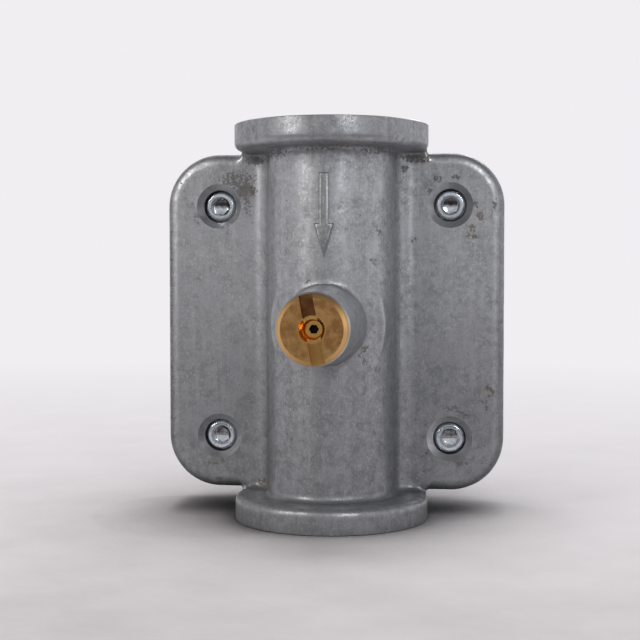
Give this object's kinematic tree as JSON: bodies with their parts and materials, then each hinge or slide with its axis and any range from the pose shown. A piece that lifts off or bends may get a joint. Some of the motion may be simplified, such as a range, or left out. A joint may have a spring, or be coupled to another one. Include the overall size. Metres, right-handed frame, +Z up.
{
  "type": "proportional valve",
  "caption": "Cast diaphragm valve with threaded ports in a vertical tube, a square clamped plate, a slotted brass plug and a rear spring bonnet.",
  "frame": {"origin": "centre of the outlet port at the lower collar's bottom face", "axes": "+Z up along the tube towards the inlet port, +Y towards the rear cover along the valve's axis, the boss and brass plug point along -Y, +X to the right seen from the front"},
  "size_m": [0.0928, 0.1078, 0.1055],
  "materials": {
    "die_cast": "satin as-cast grey",
    "brass": "turned",
    "zinc": "bright zinc plate",
    "steel": "turned steel",
    "spring_steel": "drawn wire",
    "rubber": "matt moulded"
  },
  "bodies": {
    "housing": {"valve_body": "die_cast", "rear_cover": "die_cast", "seat_bush": "brass", "guide_bush": "brass", "sensing_jet": "brass", "diaphragm": "rubber", "return_spring": "spring_steel", "range_spring": "spring_steel", "brass_plug": "brass", "plug_o_ring": "rubber", "cover_screws": "zinc"},
    "valve_train": {"poppet": "brass", "poppet_seal": "rubber", "seal_retainer": "steel", "poppet_nut": "zinc", "valve_stem": "steel", "front_diaphragm_plate": "zinc", "rear_diaphragm_plate": "zinc", "stem_washer": "zinc", "stem_nut": "zinc"},
    "bias_cup": {"spring_cup": "steel"},
    "bias_screw": {"bias_screw": "brass", "bias_o_ring": "rubber"},
    "button": {"spring_button": "zinc"},
    "adjuster": {"adjusting_screw": "zinc"},
    "nut_washer": {"lock_washer": "zinc"},
    "nut": {"lock_nut": "zinc"}
  },
  "joints": [
    {"name": "valve_lift", "type": "slide", "parent": "housing", "child": "valve_train", "axis": [0, -1, 0], "range_m": [0, 0.0025], "stiffness_N_per_m": 2500, "deforming": ["diaphragm", "return_spring", "range_spring"]},
    {"name": "bias_travel", "type": "slide", "parent": "housing", "child": "bias_cup", "axis": [0, 1, 0], "range_m": [0, 0.002], "deforming": ["return_spring"]},
    {"name": "bias_turn", "type": "hinge", "parent": "bias_cup", "child": "bias_screw", "pos_m": [0, -0.036, 0.05275], "axis": [0, 1, 0], "range_deg": [0, 901]},
    {"name": "button_travel", "type": "slide", "parent": "housing", "child": "button", "axis": [0, -1, 0], "range_m": [-0.001, 0.003], "deforming": ["range_spring"]},
    {"name": "adjuster_turn", "type": "hinge", "parent": "button", "child": "adjuster", "pos_m": [0, 0.053, 0.05275], "axis": [0, -1, 0], "range_deg": [-289, 865]},
    {"name": "nut_travel", "type": "slide", "parent": "housing", "child": "nut_washer", "axis": [0, 1, 0], "range_m": [0, 0.0025]},
    {"name": "nut_turn", "type": "hinge", "parent": "nut_washer", "child": "nut", "pos_m": [0, 0.055, 0.05275], "axis": [0, 1, 0], "range_deg": [0, 721]}
  ],
  "couplings": [
    {"joint": "bias_turn", "follows": "bias_travel", "rad_per_m": 7854},
    {"joint": "adjuster_turn", "follows": "button_travel", "rad_per_m": 5026.6},
    {"joint": "nut_turn", "follows": "nut_travel", "rad_per_m": 5026.6}
  ]
}
